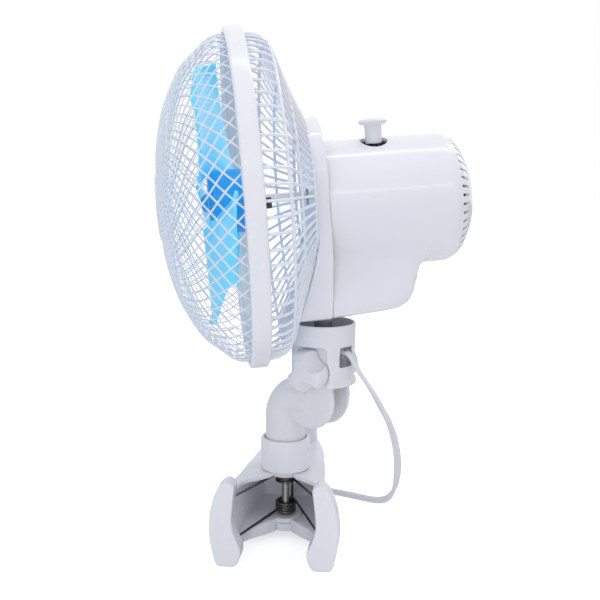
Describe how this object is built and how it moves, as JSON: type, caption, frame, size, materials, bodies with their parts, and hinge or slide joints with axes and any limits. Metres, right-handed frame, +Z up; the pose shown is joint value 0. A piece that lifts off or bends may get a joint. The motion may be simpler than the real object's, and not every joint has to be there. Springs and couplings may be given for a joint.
{
  "type": "desk fan",
  "caption": "Small guarded desk fan: geared sweep head on a tilting cup and swan-neck arm, standing on a spring clip, with its lead.",
  "frame": {"origin": "on the floor, under the middle of the fan without its lead", "axes": "+Z up, the fan blows towards -Y, +X to the right seen from the front"},
  "size_m": [0.3675, 0.1824, 0.3036],
  "materials": {
    "white_gloss": "gloss",
    "white_net": "satin",
    "cord_sheath": "satin",
    "blue_clear": "gloss",
    "nickel": "satin",
    "dark_plastic": "matt",
    "iron": "bare",
    "brass": "satin",
    "copper": "lacquered",
    "nylon": "satin",
    "pad_rubber": "matt"
  },
  "bodies": {
    "base": {"clip_arm_left": "white_gloss", "jaw_pad_left": "pad_rubber", "clip_axle": "nickel", "axle_nut": "nickel", "swivel_socket": "white_gloss", "spring_upper": "nickel", "spring_lower": "nickel"},
    "jaw": {"clip_arm_right": "white_gloss", "jaw_pad_right": "pad_rubber"},
    "arm": {"swivel_arm": "white_gloss", "power_cord": "cord_sheath", "cord_hank": "cord_sheath", "cord_tie": "dark_plastic", "plug_body": "white_gloss", "plug_pin_1": "brass", "plug_pin_2": "brass"},
    "yoke": {"yoke_cup": "white_gloss", "tilt_bolt": "nickel", "cord_clamp": "white_gloss", "sweep_stem": "nickel"},
    "knob": {"tilt_knob": "white_gloss"},
    "head": {"guard_ring": "white_gloss", "front_grille": "white_net", "rear_grille": "white_gloss", "grille_badge": "white_gloss", "ring_screw": "nickel", "front_collar": "white_gloss", "motor_housing": "white_gloss", "front_bracket": "iron", "rear_bracket": "iron", "front_bush": "brass", "rear_bush": "brass", "stator_core": "iron", "winding_front": "copper", "winding_rear": "copper", "motor_bolt_1": "nickel", "motor_bolt_2": "nickel", "gearbox_case": "iron", "pivot_bracket": "iron", "speed_switch": "dark_plastic"},
    "rotor": {"impeller": "blue_clear", "impeller_nut": "blue_clear", "motor_shaft": "nickel", "rotor_core": "iron"},
    "wheel": {"worm_wheel": "nylon"},
    "crank": {"crank_spindle": "dark_plastic"},
    "link": {"sweep_link": "nickel"},
    "puller": {"sweep_knob": "white_gloss"},
    "slider": {"speed_slider": "white_gloss"}
  },
  "joints": [
    {"name": "clip_hinge", "type": "hinge", "parent": "base", "child": "jaw", "pos_m": [-0.02022, -0.01546, 0], "axis": [0, 0, 1], "range_deg": [-32, 0], "stiffness_Nm_per_rad": 0.25, "springref_deg": 28.65, "deforming": ["spring_upper", "spring_lower"]},
    {"name": "swivel", "type": "hinge", "parent": "base", "child": "arm", "pos_m": [-0.02022, -0.01546, 0], "axis": [0, 0, 1], "range_deg": [-90, 90]},
    {"name": "tilt", "type": "hinge", "parent": "arm", "child": "yoke", "pos_m": [0, 0.00477, 0.1108], "axis": [0.7071, -0.7071, 0], "range_deg": [-10, 14], "deforming": ["power_cord"]},
    {"name": "tilt_knob_turn", "type": "hinge", "parent": "yoke", "child": "knob", "pos_m": [0, 0.00477, 0.1108], "axis": [0.7071, -0.7071, 0], "range_deg": [-180, 180]},
    {"name": "sweep", "type": "hinge", "parent": "yoke", "child": "head", "pos_m": [0, 0.00477, 0], "axis": [0, 0, 1], "range_deg": [-90, 0]},
    {"name": "rotor_spin", "type": "hinge", "parent": "head", "child": "rotor", "pos_m": [0, -0.04103, 0.2086], "axis": [0, 0.9976, 0.0698], "continuous": true},
    {"name": "worm_wheel_spin", "type": "hinge", "parent": "head", "child": "wheel", "pos_m": [0.011, 0.03299, 0.21378], "axis": [0, -0.0698, 0.9976], "continuous": true},
    {"name": "crank_turn", "type": "hinge", "parent": "head", "child": "crank", "pos_m": [0.011, 0.03299, 0.21378], "axis": [0, -0.0698, 0.9976], "range_deg": [0, 180]},
    {"name": "link_turn", "type": "hinge", "parent": "crank", "child": "link", "pos_m": [0.01009, 0.03287, 0.15663], "axis": [0, -0.0698, 0.9976], "range_deg": [-179, 0]},
    {"name": "sweep_knob_pull", "type": "slide", "parent": "crank", "child": "puller", "axis": [0, -0.0698, 0.9976], "range_m": [-0.008, 0]},
    {"name": "speed_slide", "type": "slide", "parent": "head", "child": "slider", "axis": [1, 0, 0], "range_m": [0, 0.005]}
  ],
  "couplings": [
    {"joint": "worm_wheel_spin", "follows": "rotor_spin", "ratio": 0.033333},
    {"joint": "crank_turn", "follows": "sweep", "ratio": -2},
    {"joint": "link_turn", "follows": "sweep", "ratio": 1.98}
  ]
}
